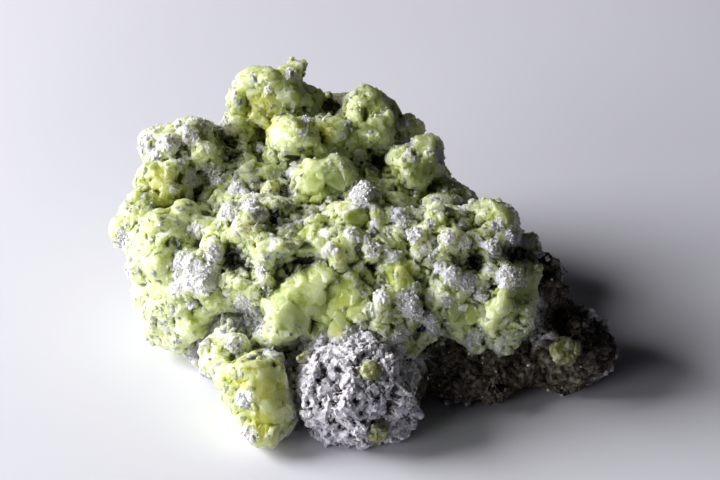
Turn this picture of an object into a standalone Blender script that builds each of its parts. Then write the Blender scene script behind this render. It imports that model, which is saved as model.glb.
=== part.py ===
"""A hand specimen of massive sulfur on a piece of grey matrix rock.

The specimen is set out as it is seen from one eye point, in front of it and above it.
A place on it is given as (across, up, depth) in millimetres: across to the right and up on a
plane through SIGHT_CENTRE that faces the eye, and depth beyond that plane, away from the eye.
At the end everything is in metres, +Z up, with the origin under the middle of the specimen.
"""

import math
import random

import bmesh
import bpy
from mathutils import Matrix, Vector, noise
from mathutils.bvhtree import BVHTree

MM = 0.001

# The eye point, from which the places below are read off
SIGHT_CENTRE = Vector((-0.5, 1.7, 18.5))
EYE_DISTANCE = 333.0
EYE_ELEVATION = math.radians(35)

# The finish of the solids: the size of a voxel and the gap to the rock in millimetres, and triangles
VOXEL = 0.55
CONTACT_GAP = 0.45
SULFUR_TRIANGLES = 5400
MATRIX_TRIANGLES = 2500

# The block that cuts the specimen flat underneath, in millimetres
FLOOR_BLOCK = (140, 140, 40)

# How far a lump is sunk in the mass that carries it, as a share of its radius: a small one, and
# how much more for each millimetre that a big one is over 2
SINK = 0.1
SINK_GROWTH = 0.1

# How deep a hollow is and how much its rim wanders, as shares of its radius, and how often the
# rim wanders, per millimetre
HOLLOW_DEPTH = 1.3
HOLLOW_WANDER = 0.6
HOLLOW_WAVES = 0.35

# Big masses of sulfur: (across, up, depth) of the centre, then the half widths along X, Y and Z
SULFUR_MASSES = {
    "ridge_middle": ((0, -3, -5), (14, 8.5, 8.5)),
    "ridge_left": ((-16, -3, -4), (10, 9, 9)),
    "ridge_right": ((16, -5, -5), (11, 9, 10)),
    "right_end": ((24, -11.5, -8), (5.2, 5.5, 7)),
    "left_flank": ((-30.5, -3, 3), (7.5, 9, 9)),
    "left_foot": ((-29, -12, 2), (6, 6.5, 6)),
    "left_knob": ((-35, 4, 3), (3.5, 4, 3.5)),
    "left_shoulder": ((-32, 9, 7), (4, 4.5, 4.5)),
    "upper_left_block": ((-29.5, 13.6, 11), (6, 5.5, 6.5)),
    "upper_left_saddle": ((-21, 13.6, 14.5), (5, 4.5, 5.5)),
    "back_lobe": ((-15, 21.5, 17), (7, 5.5, 7.5)),
    "back_saddle": ((-6, 17.5, 18), (5, 5, 6.5)),
    "back_face": ((-9, 14.5, 12), (7.5, 5.5, 6)),
    "back_right": ((2, 16, 15), (6, 5.5, 7)),
    "right_shoulder": ((9, 9, 12), (4, 5.5, 7.5)),
    "shoulder_foot": ((13, 2, 8), (6, 7, 6)),
    "valley_left": ((-22, 10, 11), (6, 6, 6)),
    "valley_floor": ((-10, 5, 6), (18, 8, 5)),
    "valley_right": ((4, 9, 12), (6, 7, 5)),
    "front_bulge": ((-9, -11, -9), (6, 4.5, 5)),
    "front_brow": ((6, -13, -11), (5.5, 4, 4.5)),
    "front_crystal": ((-17, -25, -12.5), (4.8, 4.5, 6)),
    "front_crystal_foot": ((-16, -30, -14), (3, 3, 3.5)),
    "front_crystal_root": ((-21.5, -19.5, -7.5), (4.2, 5, 4.5)),
}

# Big masses of the grey matrix rock, in the same terms
MATRIX_MASSES = {
    "base": ((0, -12, 6), (29, 19, 7)),
    "front_block": ((-0.5, -25.5, -13), (9, 7.5, 8.5)),
    "front_top": ((-1, -19, -10), (8, 6, 5)),
    "right_middle": ((19, -20.3, -3), (12, 7, 5)),
    "right_lobe": ((34.5, -19, -2), (7, 6, 6)),
    "right_top": ((29, -7.5, -3), (4, 6, 6)),
    "back_base": ((-6, 6, 20), (17, 11, 9)),
    "left_base": ((-22, -16, 3), (5, 7, 4.5)),
}

# Lumps of sulfur as seen from the eye point: (across, up, radius)
SULFUR_LUMPS = {
    "back_lobe": [
        (-19, 25.4, 3.8), (-15.6, 26.4, 3), (-12.6, 27, 2.8), (-10.6, 28, 2), (-18.5, 21.5, 3.4),
        (-15, 20.8, 2.8), (-20.8, 18.5, 2.2), (-11, 22.4, 3.6), (-8.4, 24, 2.3),
    ],
    "back_face": [
        (-12, 17.6, 4.4), (-7, 17, 3.4), (-3.2, 17.5, 3.3), (-15.5, 12.4, 2.2), (-17.5, 11, 1.8),
        (-19.7, 10.5, 1.9), (-12.5, 13, 2.2),
    ],
    "back_right": [
        (0.5, 22.8, 2.8), (3.4, 21, 2.2), (2, 18, 2.4), (6.6, 19.3, 1.8), (8.8, 18.4, 2),
        (11.4, 15.4, 2.6), (7, 13.4, 2.9), (9.6, 11.5, 3), (14, 9.8, 2.4), (18.2, 7.8, 2),
    ],
    "upper_left_block": [
        (-31.4, 16, 3.6), (-34.8, 15.2, 2.5), (-28, 18.4, 2), (-26.6, 14.6, 3.4), (-25, 17.8, 2.2),
        (-33.6, 13.2, 1.8),
    ],
    "left_flank": [
        (-31, 12, 2.4), (-35, 10.5, 2.8), (-33, 8, 2.5), (-36.6, 6.8, 2.8), (-38, 4.3, 2.5),
        (-39.6, 1.8, 2.3), (-33.6, 2, 3), (-30, 1.2, 2.4), (-36.8, -1.2, 2.2), (-34, -4.5, 3.4),
        (-35.4, -9.5, 3.2), (-33.4, -13.5, 3.2), (-30.6, -17, 2.6), (-27.4, -18.8, 2),
    ],
    "valley": [
        (-28.6, 4.8, 2.8), (-25, 4.4, 1.7), (-25.6, 8, 1.8), (-23, 7, 1.5), (-29, 7.4, 1.5),
        (-7.2, 9, 3.9), (-3.2, 11, 3.5), (-11, 4.6, 1.9), (3, 8.4, 2.2), (5.1, 7.4, 1.6),
    ],
    "white_chunk": [
        (0.2, 7, 2.2),
    ],
    "ridge_left": [
        (-21.6, 4.2, 2.3), (-17.2, 4.2, 2.3), (-19.4, 2, 1.9), (-24.4, 1.2, 1.9), (-16, 0, 1.7),
        (-24.4, -1.8, 2.2), (-28.4, -5.2, 3.4), (-25.4, -7.2, 3), (-29.2, -9.8, 2.3),
        (-24.6, -10.6, 1.9), (-27.4, -13.8, 3), (-15, -2.2, 2.2), (-16.6, -8.2, 2.7),
        (-16.4, -5, 1.4), (-20.2, -9.6, 1.9), (-20.6, -14.6, 2.4), (-18, -12.4, 2.2),
        (-16.2, -15.4, 2.5), (-20.6, -17.6, 2.4), (-17.4, -18, 2),
    ],
    "ridge_middle": [
        (-12.6, -1, 2.2), (-9, -0.6, 2.6), (-7.4, 2.6, 2.2), (-2, 4.2, 2.9), (-4.6, 0.6, 2.2),
        (-1.4, 1.2, 1.9), (6.6, 5.8, 1.9), (8.8, 5.4, 1.6), (7, 3.2, 2), (6, 0.6, 1.9),
        (-3.4, -2.6, 2.4), (0.8, -1.6, 1.9), (-0.2, -6.4, 2.2), (-3, -6.4, 1.7), (0.5, -9, 1.6),
        (3, -3, 1.7), (5.4, -2.6, 1.4), (7.6, -6, 3.5), (11, -3, 2.7), (10.4, 0.6, 2),
    ],
    "front_bulge": [
        (-8.4, -8.4, 3.9), (-2.8, -10.4, 3.5), (-12, -12.6, 4.2), (-6.6, -13.4, 3),
        (-3.6, -15.6, 2.7), (-7.2, -16.4, 2.2), (-13, -16.4, 2.6), (-9.6, -15.6, 2.4),
    ],
    "front_brow": [
        (4, -11, 3.4), (8, -11, 2.8), (1.6, -12.8, 2), (11.4, -13, 2), (2.8, -16, 2.2),
        (7.4, -17.4, 3), (6.6, -20, 2.1), (0.6, -15.6, 1.9),
    ],
    "ridge_right": [
        (12.6, 4, 3), (15.2, 5, 2), (17.4, 2.6, 2.2), (20.2, 4, 2.3), (23, 3.4, 3.3),
        (24.6, 0.8, 1.9), (21.6, -1.6, 1.9), (15.4, -0.8, 2.2), (27, -1, 2), (30, -2.6, 2),
        (28.6, -4, 1.6), (15.4, -5.6, 2.2), (12.6, -8, 2.2), (17.6, -7.6, 1.9),
        (16.4, -11, 3.2), (13.2, -11.2, 1.9), (15.4, -15, 2.8), (12, -15.6, 1.8),
    ],
    "right_end": [
        (24.6, -6, 2.4), (28, -6, 2.7), (28, -10, 2.9), (24, -9.4, 3.2), (22.4, -13.4, 3.3),
        (26, -13.4, 2.9), (20.4, -10.4, 2.4), (19.4, -16.6, 2.8), (23.4, -17.6, 2.4), (14.6, -18, 2.2),
    ],
    "front_crystal": [
        (-21.8, -21, 3.8), (-17.4, -22.6, 4.6), (-16, -26.8, 5), (-20, -25.8, 3.6),
        (-16.8, -31, 3.6), (-13.4, -29.4, 3), (-12.4, -31, 2), (-25, -19.2, 2.6),
        (-14.4, -23.6, 2.6),
    ],
}

# Lumps of the matrix rock as seen from the eye point: (across, up, radius)
MATRIX_LUMPS = [
    (-8, -24, 2.4), (-6, -21.5, 2.2), (-2.2, -22.5, 3), (1, -25.6, 2.4), (-8, -28.6, 2.6),
    (-3, -28, 2.6), (-6, -31, 2.1), (-2.5, -32.4, 2), (0.8, -33.2, 1.8), (5, -23.4, 2.2),
    (5, -27.4, 2.4), (-1, -16.5, 2.2), (-4, -18.5, 2), (2, -19, 1.8), (9.4, -22.4, 2.6),
    (8.6, -28, 2.2), (6, -31, 2), (13, -19.4, 2.4), (17, -20.4, 2.8), (16, -24.2, 2.4),
    (20.4, -24, 2.4), (22.4, -19.6, 2.4), (26, -18, 2.2), (27.4, -23.2, 2.4), (31.4, -23.6, 2.3),
    (36, -23, 2.3), (39.6, -17, 2.3), (38, -13.4, 2), (33.8, -12, 2.4), (32.6, -8, 2.2),
    (32.6, -4.6, 1.6), (-26.6, -19.6, 2), (-24.6, -21.6, 1.6), (-11.6, -21, 2.2), (29, -14, 2.4),
]

# Hollows in the sulfur as seen from the eye point: (across, up, radius)
SULFUR_HOLLOWS = [
    (-22, 16.6, 2.6), (-21.4, 12.8, 2.6), (-12.6, 8.6, 2.4), (-16.6, 8, 2), (-5, 22.6, 2.4),
    (-21.4, -2.8, 3), (-19, -5, 2.6), (-23, -5.4, 1.8), (-14.4, 3.6, 2), (-12.6, -4.4, 2),
    (-9.2, -4, 2), (-6.4, -3.6, 1.7), (-10.4, 6, 1.7), (-3.2, 7, 1.8), (2.2, -4.8, 1.8),
    (2.8, 13.4, 2.6), (4.4, 10.8, 2.2), (10, -14.6, 1.9), (7.6, -13.8, 1.4), (19.4, -2.6, 2.4),
    (18, -5, 1.8), (25.4, -2.6, 1.9), (-31.4, 5, 1.8),
]

# Hollows in the matrix rock, in the same terms
MATRIX_HOLLOWS = [
    (-3.6, -25, 1.7), (3, -29.6, 2), (-0.6, -30, 1.6), (10.6, -25.6, 2.3), (24.6, -21.4, 2.3),
    (11.6, -17.6, 2.3), (34.4, -14.6, 1.8),
]

# Crystals that grew on the matrix by themselves: (across, up, radius)
LONE_CRYSTALS = {
    "crystal_front_foot": (3, -31.8, 2.2),
    "crystal_front_hollow": (1.8, -21.6, 1.8),
    "crystal_front_edge": (-8.4, -19.8, 1.9),
    "crystal_right_lobe": (34, -18.4, 3.2),
}

SULFUR_COLOUR = (0.62, 0.66, 0.14, 1)
MATRIX_COLOUR = (0.30, 0.28, 0.29, 1)


def clear_scene():
    """Removes what the file opened with."""
    for obj in list(bpy.data.objects):
        bpy.data.objects.remove(obj, do_unlink=True)


def sight_point(across, up, depth):
    """The point, in millimetres, at (across, up) on the sight plane and that far beyond it."""
    rise, level = math.sin(EYE_ELEVATION), math.cos(EYE_ELEVATION)
    eye = SIGHT_CENTRE + Vector((0, -level, rise)) * EYE_DISTANCE
    on_plane = SIGHT_CENTRE + Vector((across, up * rise, up * level))
    return on_plane + (on_plane - eye).normalized() * depth


def sight_direction(across, up):
    """The direction in which the eye looks at (across, up)."""
    return (sight_point(across, up, 1) - sight_point(across, up, 0)).normalized()


def material(name, colour, roughness):
    """A Principled material of one colour."""
    made = bpy.data.materials.new(name)
    made.use_nodes = True
    shader = made.node_tree.nodes["Principled BSDF"]
    shader.inputs["Base Color"].default_value = colour
    shader.inputs["Roughness"].default_value = roughness
    shader.inputs["Metallic"].default_value = 0
    made.diffuse_color = colour
    return made


def add_mass(shapes, centre, half_widths):
    """Adds a rounded mass, an icosphere stretched to its half widths."""
    place = Matrix.Translation(centre) @ Matrix.Diagonal((*half_widths, 1))
    bmesh.ops.create_icosphere(shapes, subdivisions=3, radius=1, matrix=place)


def add_lump(shapes, centre, radius, rng, corners=18, squeeze=0.22):
    """Adds a flat-faced lump: the hull of corners spread evenly over a squeezed ball."""
    stretch = Vector([1 + rng.uniform(-squeeze, squeeze) for _ in range(3)])
    about_z = Matrix.Rotation(rng.uniform(0, math.tau), 3, "Z")
    turn = about_z @ Matrix.Rotation(rng.uniform(0, math.pi), 3, "X")
    golden_angle = math.pi * (3 - math.sqrt(5))
    points = []
    for i in range(corners):
        height = 1 - 2 * (i + 0.5) / corners
        around = golden_angle * i + rng.uniform(-0.25, 0.25)
        ring = math.sqrt(1 - height * height)
        corner = Vector((ring * math.cos(around), ring * math.sin(around), height))
        corner = corner * rng.uniform(0.9, 1.12)
        corner = turn @ Vector(c * s for c, s in zip(corner, stretch))
        points.append(shapes.verts.new(centre + corner * radius))
    hull = bmesh.ops.convex_hull(shapes, input=points)
    spare = hull["geom_interior"] + hull["geom_unused"]
    spare = [v for v in spare if isinstance(v, bmesh.types.BMVert)]
    bmesh.ops.delete(shapes, geom=spare, context="VERTS")


def sunk(radius):
    """How deep in its mass the centre of a lump of that radius sits."""
    return radius * (SINK + SINK_GROWTH * max(0, radius - 2))


def seat(tree, across, up, radius):
    """Where a lump seen at (across, up) sits on the masses: sunk in where the eye meets them,
    or, where the eye passes them by, at the nearest they come to the line of sight."""
    start = sight_point(across, up, -80)
    direction = sight_direction(across, up)
    hit, normal, _, _ = tree.ray_cast(start, direction)
    if hit is None:
        along = [start + direction * step for step in range(20, 160)]
        return min(along, key=lambda p: tree.find_nearest(p)[3])
    return hit - normal * sunk(radius)


def masses_tree(masses):
    """A search tree of the surfaces of these masses."""
    shapes = bmesh.new()
    for place, half_widths in masses.values():
        add_mass(shapes, sight_point(*place), half_widths)
    tree = BVHTree.FromBMesh(shapes)
    shapes.free()
    return tree


def surface_spots(masses, rng, count):
    """Points spread over the outside of these masses, each with its normal, in millimetres."""
    tree = masses_tree(masses)
    middle = sum((sight_point(*place) for place, _ in masses.values()), Vector()) / len(masses)
    spots = []
    for _ in range(count):
        around, height = rng.uniform(0, math.tau), rng.uniform(-1, 1)
        ring = math.sqrt(1 - height * height)
        outward = Vector((ring * math.cos(around), ring * math.sin(around), height))
        aim = middle + Vector((rng.uniform(-30, 30), rng.uniform(-18, 18), rng.uniform(-4, 4)))
        hit, normal, _, _ = tree.ray_cast(aim + outward * 120, -outward)
        if hit is not None:
            spots.append((hit, normal))
    return spots


def fill_lumps(shapes, masses, taken, rng, count, radii, spacing):
    """Adds lumps where the masses are still bare, so that the back and the sides are finished too."""
    for hit, normal in surface_spots(masses, rng, count):
        radius = rng.uniform(*radii)
        centre = hit - normal * sunk(radius)
        if all((centre - other).length > spacing * (radius + size) for other, size in taken):
            add_lump(shapes, centre, radius, rng)
            taken.append((centre, radius))


def object_from(shapes, name, collection):
    """A mesh object, in metres, of these shapes, which are in millimetres."""
    mesh = bpy.data.meshes.new(name)
    bmesh.ops.recalc_face_normals(shapes, faces=shapes.faces)
    shapes.to_mesh(mesh)
    shapes.free()
    mesh.transform(Matrix.Scale(MM, 4))
    obj = bpy.data.objects.new(name, mesh)
    collection.objects.link(obj)
    return obj


def apply_modifiers(obj):
    """Makes the evaluated mesh the object's own."""
    graph = bpy.context.evaluated_depsgraph_get()
    made = bpy.data.meshes.new_from_object(obj.evaluated_get(graph))
    obj.modifiers.clear()
    obj.data = made


def fuse(obj):
    """Fuses overlapping shapes into one skin of even little faces."""
    remesh = obj.modifiers.new("fuse", "REMESH")
    remesh.mode = "VOXEL"
    remesh.voxel_size = VOXEL * MM
    apply_modifiers(obj)


def thin_out(obj, triangles):
    """Thins a skin to about that many triangles, the flattest places first."""
    obj.data.calc_loop_triangles()
    thin = obj.modifiers.new("thin", "DECIMATE")
    thin.ratio = min(1, triangles / len(obj.data.loop_triangles))
    thin.use_collapse_triangulate = True
    apply_modifiers(obj)


def press_hollows(obj, hollows):
    """Pushes the skin that faces the eye inwards, deepest at the middle of each hollow."""
    skin = BVHTree.FromPolygons(
        [v.co / MM for v in obj.data.vertices], [tuple(p.vertices) for p in obj.data.polygons]
    )
    for across, up, radius in hollows:
        depth = radius * HOLLOW_DEPTH
        direction = sight_direction(across, up)
        hit, _, _, _ = skin.ray_cast(sight_point(across, up, -80), direction)
        if hit is None:
            raise ValueError(f"{obj.name} has no skin where a hollow is set, at {across}, {up}")
        for vert in obj.data.vertices:
            from_hit = vert.co / MM - hit
            along = from_hit.dot(direction)
            wander = 1 + HOLLOW_WANDER * noise.noise(vert.co / MM * HOLLOW_WAVES)
            aside = (from_hit - direction * along).length / (radius * wander)
            if aside < 1 and abs(along) < 2 * radius + depth:
                vert.co += direction * depth * (1 - aside * aside) * MM


def cut(obj, cutter):
    """Takes the cutter's shape away from the object."""
    boolean = obj.modifiers.new("cut", "BOOLEAN")
    boolean.operation = "DIFFERENCE"
    boolean.object = cutter
    apply_modifiers(obj)


def floor_cutter(collection):
    """A block under the specimen, whose top is the plane that it rests on."""
    shapes = bmesh.new()
    place = Matrix.Translation((0, 0, -FLOOR_BLOCK[2] / 2)) @ Matrix.Diagonal((*FLOOR_BLOCK, 1))
    bmesh.ops.create_cube(shapes, size=1, matrix=place)
    return object_from(shapes, "floor_cutter", collection)


def grown_copy(obj, gap, collection):
    """A cutter that is the object grown all round by the gap."""
    grown = bpy.data.objects.new(obj.name + "_grown", obj.data.copy())
    collection.objects.link(grown)
    swell = grown.modifiers.new("swell", "DISPLACE")
    swell.strength = gap * MM
    swell.mid_level = 0
    apply_modifiers(grown)
    fuse(grown)
    thin_out(grown, MATRIX_TRIANGLES)
    return grown


def keep_largest_body(obj):
    """Removes the chips that a cut leaves beside the main body."""
    shapes = bmesh.new()
    shapes.from_mesh(obj.data)
    left, bodies = set(shapes.verts), []
    while left:
        body, edge = set(), [left.pop()]
        while edge:
            vert = edge.pop()
            body.add(vert)
            near = {e.other_vert(vert) for e in vert.link_edges} & left
            left -= near
            edge.extend(near)
        bodies.append(body)
    bodies.sort(key=len)
    for chip in bodies[:-1]:
        bmesh.ops.delete(shapes, geom=list(chip), context="VERTS")
    shapes.to_mesh(obj.data)
    shapes.free()


def matrix_rock(collection):
    """The grey rock that carries the sulfur."""
    rng = random.Random(11)
    tree = masses_tree(MATRIX_MASSES)
    shapes, taken = bmesh.new(), []
    for place, half_widths in MATRIX_MASSES.values():
        add_mass(shapes, sight_point(*place), half_widths)
    for across, up, radius in MATRIX_LUMPS:
        centre = seat(tree, across, up, radius)
        add_lump(shapes, centre, radius, rng, corners=14, squeeze=0.35)
        taken.append((centre, radius))
    fill_lumps(shapes, MATRIX_MASSES, taken, rng, 1500, (1.4, 3), 0.55)
    rock = object_from(shapes, "matrix_rock", collection)
    fuse(rock)
    press_hollows(rock, MATRIX_HOLLOWS)
    fuse(rock)
    thin_out(rock, MATRIX_TRIANGLES)
    return rock


def sulfur_mass(collection):
    """The sulfur that grew together over the rock, with all its lumps."""
    rng = random.Random(7)
    tree = masses_tree(SULFUR_MASSES)
    shapes, taken = bmesh.new(), []
    for place, half_widths in SULFUR_MASSES.values():
        add_mass(shapes, sight_point(*place), half_widths)
    for lumps in SULFUR_LUMPS.values():
        for across, up, radius in lumps:
            centre = seat(tree, across, up, radius)
            add_lump(shapes, centre, radius, rng)
            taken.append((centre, radius))
    fill_lumps(shapes, SULFUR_MASSES, taken, rng, 900, (1.5, 3.4), 0.62)
    mass = object_from(shapes, "sulfur_mass", collection)
    fuse(mass)
    press_hollows(mass, SULFUR_HOLLOWS)
    fuse(mass)
    thin_out(mass, SULFUR_TRIANGLES)
    return mass


def lone_crystal(name, across, up, radius, collection):
    """One crystal that grew on the rock by itself."""
    rng = random.Random(name)
    shapes = bmesh.new()
    centre = seat(masses_tree(MATRIX_MASSES), across, up, radius)
    outward = -sight_direction(across, up)
    add_lump(shapes, centre + outward * radius * 0.9, radius, rng, corners=20)
    return object_from(shapes, name, collection)


def centre_over_origin(pieces):
    """Moves the pieces together until the origin is under the middle of their box, and returns
    the point, in metres, that the origin then lies at."""
    corners = [v.co for piece in pieces for v in piece.data.vertices]
    middle = Vector((0, 0, 0))
    for axis in (0, 1):
        values = [corner[axis] for corner in corners]
        middle[axis] = (min(values) + max(values)) / 2
    for piece in pieces:
        piece.data.transform(Matrix.Translation(-middle))
    return middle


def build():
    """Makes every piece, cuts them to each other and stands them on the floor plane. Returns where
    the origin lies in the frame of SIGHT_CENTRE."""
    clear_scene()
    specimen = bpy.data.collections.new("sulfur_specimen")
    cutters = bpy.data.collections.new("cutters")
    for collection in (specimen, cutters):
        bpy.context.scene.collection.children.link(collection)
    cutters.hide_render = True
    yellow = material("sulfur", SULFUR_COLOUR, 0.35)
    grey = material("matrix", MATRIX_COLOUR, 0.9)

    floor = floor_cutter(cutters)
    rock = matrix_rock(specimen)
    grown_rock = grown_copy(rock, CONTACT_GAP, cutters)
    sulfur = [sulfur_mass(specimen)]
    for name, place in LONE_CRYSTALS.items():
        sulfur.append(lone_crystal(name, *place, specimen))
    cut(rock, floor)
    keep_largest_body(rock)
    for piece in sulfur:
        cut(piece, grown_rock)
        cut(piece, floor)
        keep_largest_body(piece)
    for piece, finish in [(rock, grey)] + [(crystal, yellow) for crystal in sulfur]:
        piece.data.materials.clear()
        piece.data.materials.append(finish)
    return centre_over_origin([rock] + sulfur)


build()
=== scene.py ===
"""Looks of the sulfur specimen: fine crystals and grains on the solids, finishes, light and camera."""
import math

import bmesh
import bpy
import numpy as np
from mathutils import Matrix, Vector
from mathutils.bvhtree import BVHTree
from mathutils.kdtree import KDTree
from mathutils.noise import fractal


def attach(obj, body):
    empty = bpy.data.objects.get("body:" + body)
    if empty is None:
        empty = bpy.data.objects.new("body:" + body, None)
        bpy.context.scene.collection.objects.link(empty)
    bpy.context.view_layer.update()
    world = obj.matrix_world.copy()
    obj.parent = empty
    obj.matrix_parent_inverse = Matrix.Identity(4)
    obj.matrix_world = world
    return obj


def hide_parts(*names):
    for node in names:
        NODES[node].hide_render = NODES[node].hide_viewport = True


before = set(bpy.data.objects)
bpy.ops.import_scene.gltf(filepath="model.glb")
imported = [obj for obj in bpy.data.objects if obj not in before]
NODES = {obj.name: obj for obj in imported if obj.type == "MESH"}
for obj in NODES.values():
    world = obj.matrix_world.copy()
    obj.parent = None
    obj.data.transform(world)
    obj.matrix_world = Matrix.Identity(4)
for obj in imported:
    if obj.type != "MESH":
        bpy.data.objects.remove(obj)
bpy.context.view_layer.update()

MM = 0.001

# The photograph's line of sight: places are (across, up) in mm on the plane through the sight centre
SIGHT_CENTRE = Vector((-0.2975, 0.1153, 18.5)) * MM
EYE_DISTANCE = 333 * MM
EYE_ELEVATION = math.radians(35)
EYE = SIGHT_CENTRE + Vector((0, -math.cos(EYE_ELEVATION), math.sin(EYE_ELEVATION))) * EYE_DISTANCE

# How fine the meshes are
SULFUR_VOXEL = 0.37 * MM
ROCK_VOXEL = 0.42 * MM
CRYSTAL_VOXEL = 0.2 * MM
SULFUR_TRIANGLES = 185000
ROCK_TRIANGLES = 130000

# Creases sharper than this many degrees show as edges
SULFUR_EDGES = 18
ROCK_EDGES = 20
LONE_EDGES = 13

# How many small things there are
HIDDEN_CRUSTS = 110
SULFUR_BLOCKS = 1900
ROCK_CRUMBS = 900
SMALL_CRYSTALS = 2600
CRUST_GRAINS = 19600
CRUST_PIECES = 2
ROCK_GRAINS = 9000

# Their radii in mm: smallest and largest, or the middle and how widely they spread
CRUST_RADII = (0.9, 2.6)
BLOCK_RADII = (0.9, 2.3)
CRUMB_RADII = (0.8, 2.4)
SMALL_RADII = (0.55, 0.35)
CRUST_GRAIN_RADII = (0.2, 0.35)
ROCK_GRAIN_RADII = (0.24, 0.4)

# How far their middles are lifted out of the surface, in radii
LONG_LIFT = -0.6
BLOCK_LIFT = -0.55
ROUND_LIFT = -0.45
CRUMB_LIFT = -0.35
LUMP_LIFT = -0.2
GRAIN_LIFT = -0.1

# Where the random draws start
SEEDS = {"crusts": 5, "sulfur": 11, "rock": 23, "small": 37, "lone": 50, "grains": 71, "grit": 91}

# Faces pressed into the meshes: spacing in mm, flatness, tilt, groove depth and width in mm, and the share of
# it that smooth sulfur is spared
SULFUR_FACETS = [
    (3.6, 0.8, 0.13, 0.12, 0.4, 0.2), (2.2, 0.85, 0.18, 0.1, 0.3, 0.7), (1.2, 0.9, 0.2, 0.05, 0.15, 0.85),
]
ROCK_FACETS = [(4, 0.5, 0.25, 0.6, 0.4, 0), (1.8, 0.9, 0.4, 0.3, 0.3, 0)]
LONE_FACETS = [(2.6, 0.95, 0.15, 0.1, 0.25, 0), (1.1, 0.9, 0.25, 0.08, 0.15, 0)]

# The skin over the solids, then shares of the radius of each recess, valley, crack and mound
CONTACT_FILL = 0.26 * MM
RECESS_DEPTH = 0.95
VALLEY_DEPTH = 0.75
CRACK_DEPTH = 1.5
MOUND_HEIGHT = 0.16

# How much depth counts towards the distance from a place, and how grey the crusts are
DEPTH_WEIGHT = 0.4
CRUST_GREYNESS = 0.5

# Masks of the lone crystals that are the same all over: the hollow and recess shares paint them darker all
# over as shade
LONE_MASKS = {"hollow_shade": 0.85, "recess": 0.2, "smooth": 0.6, "yellow": 0.6, "green": 0.5, "pale": 0}

# Lights: name, place and width in metres, power in watts, colour
LIGHTS = [
    ("window", (-0.655, 0.08, 0.34), 0.48, 10.4, (1.0, 0.99, 0.975)),
    ("room_front", (-0.66, -0.44, 0.17), 0.5, 3.4, (0.99, 0.99, 1.0)),
]
LIGHT_TARGET = (0, 0, 0.015)
ROOM_COLOUR = (0.9, 0.92, 1.0, 1)
ROOM_STRENGTH = 0.012

# Tables of where the photograph shows things: (across, up, radius) in mm, or else as the heading says

# Long sulfur crystals: (across, up) of both ends, then the radius
LONG_CRYSTALS = [
    (-25, -18.3, -17.5, -27.2, 2.3), (-17.5, -22, -13.3, -29.5, 3.1), (-18.3, -29.5, -15, -32.4, 2.4),
    (-30, 5, -25.5, 2.5, 2.3), (-13.6, -0.6, -7.8, -1.2, 1.9), (-30, -12, -24, -14, 2),
    (-3.5, 5, 1.8, 2.6, 2.2), (3.9, -4.2, 9.3, -8, 2.3), (14, -9.5, 19, -14, 2.4),
    (13.5, -14, 18.6, -15.8, 1.8), (12, 5.5, 14, 2, 2), (16, 4.5, 18.5, 1, 1.8), (19.4, 4.6, 23.2, 3.2, 2.3),
    (22.2, -10.2, 19.9, -14.8, 1.3), (28.4, -5.5, 28.8, -11, 3), (-20.5, 22.2, -16.2, 20.2, 2.6),
    (-19.8, 26.4, -18.4, 25, 1.7), (-16.4, 26.8, -14.4, 25.4, 1.6), (-12.9, 23, -11.6, 21.6, 1.9),
    (-9.6, 23.8, -8.8, 21.6, 1.7), (-13.6, 18, -11.8, 17, 1.9), (-10.2, 18.8, -8.6, 17.4, 1.8),
    (-6, 18.9, -4.4, 17.2, 1.7), (-2.6, 18.6, -0.8, 17.4, 1.7), (0, 23.4, 1.8, 22, 1.9),
    (3.4, 19.6, 4.4, 17, 1.8), (-19, 12.4, -17, 10.6, 1.8), (-15.4, 12, -13.6, 10, 1.7),
    (6.5, 18.8, 8.5, 17.4, 1.7), (8, 13, 9.5, 9, 2.1), (11.3, 14.6, 12, 11.5, 1.8),
    (12.8, 10, 14.8, 7.6, 1.7), (-35.5, 10, -32.5, 8, 2.2), (-31.6, 12.4, -30.6, 10.5, 1.8),
    (-39.4, 1.8, -38.6, 0.4, 2.2),
]

# Crystals that stand out most, such as the folded one and the twin: (across, up, nearer to the viewer) of
# both ends, then the radius
STANDING_CRYSTALS = [
    (-8, 10.4, -4, -7, 8, -3, 3.4), (-4.4, 10.8, -3.8, -2.8, 10.4, -4, 3.4), (0.4, 7.6, 6.6, 1, 6.8, 7, 1.9),
    (-9.2, -8.4, 12.8, -12.8, -14.8, 13.2, 3.2), (-8.6, -6.9, 13.2, -4.8, -7.9, 13, 2.8),
    (-5.6, -9.8, 11.4, -1.4, -11.8, 12.4, 3.8), (-6.8, -15.2, 12.6, -6.4, -16.4, 12.6, 1.8),
    (-3.7, -14.8, 13.6, -2.9, -16.4, 13.4, 2.1), (-25.4, -7.6, 6.4, -24.8, -9, 6, 4.2),
    (-28.6, -6.4, 4.6, -28.4, -10.6, 3.4, 3.4),
]

# Their flat faces: (across, up, nearer to the viewer, radius), then how far each one faces to the right of
# the viewer and upwards, in degrees
STANDING_FACES = [
    (-6.4, -7.5, 15.7, 3.4, -24, 58), (-12.6, -13, 15.8, 3, -4, 24), (-9.5, -14.4, 14.6, 2.1, 38, 18),
    (-3, -11, 15.3, 4.2, -32, 42), (-3.3, -15.6, 15.6, 1.8, -28, 40), (-6.7, -15.4, 14.2, 1.7, -26, 42),
    (-29, -6.4, 8, 3.8, -44, 38), (-26, -4, 9.6, 2.6, -20, 60), (-27.6, -10.6, 6.6, 2.4, -30, 20),
    (-7.6, 9.4, -0.4, 2.8, -22, 38), (-3, 10.4, -0.6, 2.6, 12, 36), (0.2, 7.8, 8.3, 1.5, -38, 48),
]

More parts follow.
